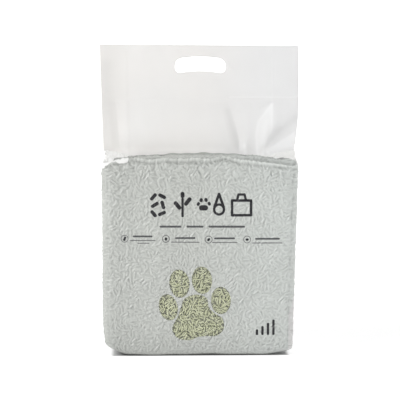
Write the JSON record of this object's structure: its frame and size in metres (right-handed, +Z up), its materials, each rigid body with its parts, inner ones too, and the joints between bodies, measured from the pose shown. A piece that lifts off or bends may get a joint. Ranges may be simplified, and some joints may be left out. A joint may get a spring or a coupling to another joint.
{
  "type": "cat litter bag",
  "caption": "Vacuum-packed gusseted film bag of pellet cat litter, with a flat carrying header and a paw-shaped group of clear windows.",
  "frame": {"origin": "on the floor, under the middle of the bag", "axes": "+Z up, -Y out of the printed front, +X to the right as the front is seen"},
  "size_m": [0.251, 0.1063, 0.387],
  "materials": {
    "printed_film": "satin film with a grey-green print",
    "litter": "dry pellets of pressed plant meal, matt yellow-green"
  },
  "bodies": {
    "root": {"film_bag": "printed_film", "litter_fill": "litter"}
  },
  "joints": []
}
